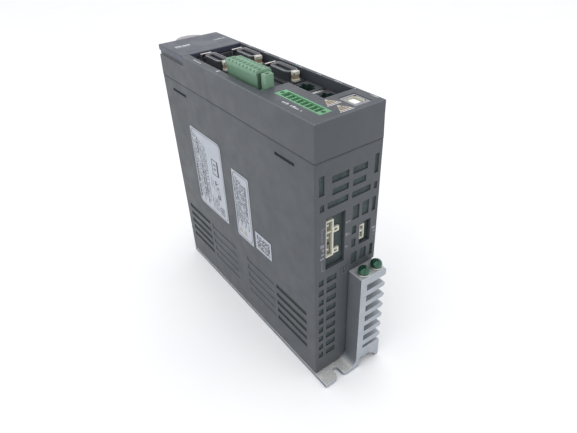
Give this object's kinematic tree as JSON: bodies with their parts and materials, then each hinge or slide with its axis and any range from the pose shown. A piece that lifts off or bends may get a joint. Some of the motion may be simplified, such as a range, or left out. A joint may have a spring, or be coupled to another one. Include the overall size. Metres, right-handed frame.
{
  "type": "servo drive",
  "caption": "Slim wall-mounted servo drive on a finned heatsink, with a front panel of ports, a pluggable green terminal block and green ground screws.",
  "frame": {"origin": "centre of the case's footprint on the mounting plane, the heatsink's back face", "axes": "+Z out from the wall to the front panel, +Y up when the drive hangs on its wall (the motor outlet is on the -Y end), -X the side that carries the labels, +X the side with the fins"},
  "size_m": [0.0472, 0.1984, 0.1932],
  "materials": {
    "aluminium": "extruded, clear anodised, satin",
    "case": "fine-textured moulded plastic",
    "cover": "fine-textured moulded plastic",
    "cap": "smooth moulded plastic, half gloss",
    "smoke": "smoke-tinted moulded plastic",
    "shield": "tin-plated pressed steel",
    "nickel": "nickel-plated",
    "insulator": "glass-filled nylon",
    "ivory": "natural nylon",
    "header_green": "moulded nylon",
    "plug_green": "moulded nylon",
    "screw": "zinc-plated",
    "washer": "zinc-plated",
    "ground_green": "green-lacquered steel, glossy",
    "board": "glass-epoxy board with green solder mask",
    "sleeve": "shrink sleeve over an aluminium can",
    "epoxy": "moulded epoxy",
    "relay": "moulded plastic case",
    "copper": "enamelled copper wire on a ring core",
    "ferrite": "sintered ferrite",
    "paper": "printed polyester label"
  },
  "bodies": {
    "drive": {"heatsink": "aluminium", "rear_housing": "case", "front_cover": "cover", "front_cap": "cap", "cap_thumb_tab": "smoke", "port_a_shell": "shield", "port_a_insert": "insulator", "port_a_latch_1": "nickel", "port_a_latch_2": "nickel", "port_b_shell": "shield", "port_b_insert": "insulator", "port_b_latch_1": "nickel", "port_b_latch_2": "nickel", "port_c_shell": "shield", "port_c_insert": "insulator", "port_c_latch_1": "nickel", "port_c_latch_2": "nickel", "rj45_jack_1": "insulator", "rj45_jack_2": "insulator", "usb_shell": "ivory", "usb_tongue": "ivory", "io_header": "header_green", "plug_header": "header_green", "motor_connector": "ivory", "input_connector": "ivory", "aux_connector": "ivory", "power_board": "board", "control_board": "board", "terminal_board": "board", "bus_capacitor_1": "sleeve", "bus_capacitor_2": "sleeve", "bus_capacitor_3": "sleeve", "power_module": "epoxy", "bridge_rectifier": "epoxy", "soft_start_relay": "relay", "input_choke": "copper", "supply_transformer": "ferrite", "board_link": "insulator", "board_standoff_1": "nickel", "board_standoff_2": "nickel", "board_standoff_3": "nickel", "board_standoff_4": "nickel", "rating_label": "paper", "caution_label": "paper", "code_label": "paper"},
    "plug": {"terminal_plug": "plug_green"},
    "clamp_screw_1": {"clamp_screw_1": "screw"},
    "clamp_screw_2": {"clamp_screw_2": "screw"},
    "clamp_screw_3": {"clamp_screw_3": "screw"},
    "clamp_screw_4": {"clamp_screw_4": "screw"},
    "clamp_screw_5": {"clamp_screw_5": "screw"},
    "clamp_screw_6": {"clamp_screw_6": "screw"},
    "clamp_screw_7": {"clamp_screw_7": "screw"},
    "clamp_screw_8": {"clamp_screw_8": "screw"},
    "flange_screw_1": {"flange_screw_1": "screw"},
    "flange_screw_2": {"flange_screw_2": "screw"},
    "ground_washer_1": {"ground_washer_1": "washer"},
    "ground_washer_2": {"ground_washer_2": "washer"},
    "ground_screw_1": {"ground_screw_1": "ground_green"},
    "ground_screw_2": {"ground_screw_2": "ground_green"}
  },
  "joints": [
    {"name": "plug_pull", "type": "slide", "parent": "drive", "child": "plug", "axis": [0, 0, 1], "range_m": [0, 0.009]},
    {"name": "clamp_screw_1_turn", "type": "hinge", "parent": "plug", "child": "clamp_screw_1", "pos_m": [-0.007, -0.0259, 0.189], "axis": [1, 0, 0], "range_deg": [0, 720]},
    {"name": "clamp_screw_2_turn", "type": "hinge", "parent": "plug", "child": "clamp_screw_2", "pos_m": [-0.007, -0.02209, 0.189], "axis": [1, 0, 0], "range_deg": [0, 720]},
    {"name": "clamp_screw_3_turn", "type": "hinge", "parent": "plug", "child": "clamp_screw_3", "pos_m": [-0.007, -0.01828, 0.189], "axis": [1, 0, 0], "range_deg": [0, 720]},
    {"name": "clamp_screw_4_turn", "type": "hinge", "parent": "plug", "child": "clamp_screw_4", "pos_m": [-0.007, -0.01447, 0.189], "axis": [1, 0, 0], "range_deg": [0, 720]},
    {"name": "clamp_screw_5_turn", "type": "hinge", "parent": "plug", "child": "clamp_screw_5", "pos_m": [-0.007, -0.01066, 0.189], "axis": [1, 0, 0], "range_deg": [0, 720]},
    {"name": "clamp_screw_6_turn", "type": "hinge", "parent": "plug", "child": "clamp_screw_6", "pos_m": [-0.007, -0.00685, 0.189], "axis": [1, 0, 0], "range_deg": [0, 720]},
    {"name": "clamp_screw_7_turn", "type": "hinge", "parent": "plug", "child": "clamp_screw_7", "pos_m": [-0.007, -0.00304, 0.189], "axis": [1, 0, 0], "range_deg": [0, 720]},
    {"name": "clamp_screw_8_turn", "type": "hinge", "parent": "plug", "child": "clamp_screw_8", "pos_m": [-0.007, 0.00077, 0.189], "axis": [1, 0, 0], "range_deg": [0, 720]},
    {"name": "flange_screw_1_turn", "type": "hinge", "parent": "plug", "child": "flange_screw_1", "pos_m": [-0.0115, -0.0325, 0.185], "axis": [0, 0, 1], "range_deg": [0, 1080]},
    {"name": "flange_screw_2_turn", "type": "hinge", "parent": "plug", "child": "flange_screw_2", "pos_m": [-0.0115, 0.00455, 0.185], "axis": [0, 0, 1], "range_deg": [0, 1080]},
    {"name": "ground_washer_1_lift", "type": "slide", "parent": "drive", "child": "ground_washer_1", "axis": [0, 0, 1], "range_m": [0, 0.0028]},
    {"name": "ground_screw_1_turn", "type": "hinge", "parent": "ground_washer_1", "child": "ground_screw_1", "pos_m": [0.0086, -0.0948, 0.082], "axis": [0, 0, 1], "range_deg": [0, 1440]},
    {"name": "ground_washer_2_lift", "type": "slide", "parent": "drive", "child": "ground_washer_2", "axis": [0, 0, 1], "range_m": [0, 0.0028]},
    {"name": "ground_screw_2_turn", "type": "hinge", "parent": "ground_washer_2", "child": "ground_screw_2", "pos_m": [0.0188, -0.0948, 0.082], "axis": [0, 0, 1], "range_deg": [0, 1440]}
  ],
  "couplings": [
    {"joint": "ground_screw_1_turn", "follows": "ground_washer_1_lift", "rad_per_m": 8976},
    {"joint": "ground_screw_2_turn", "follows": "ground_washer_2_lift", "rad_per_m": 8976}
  ]
}
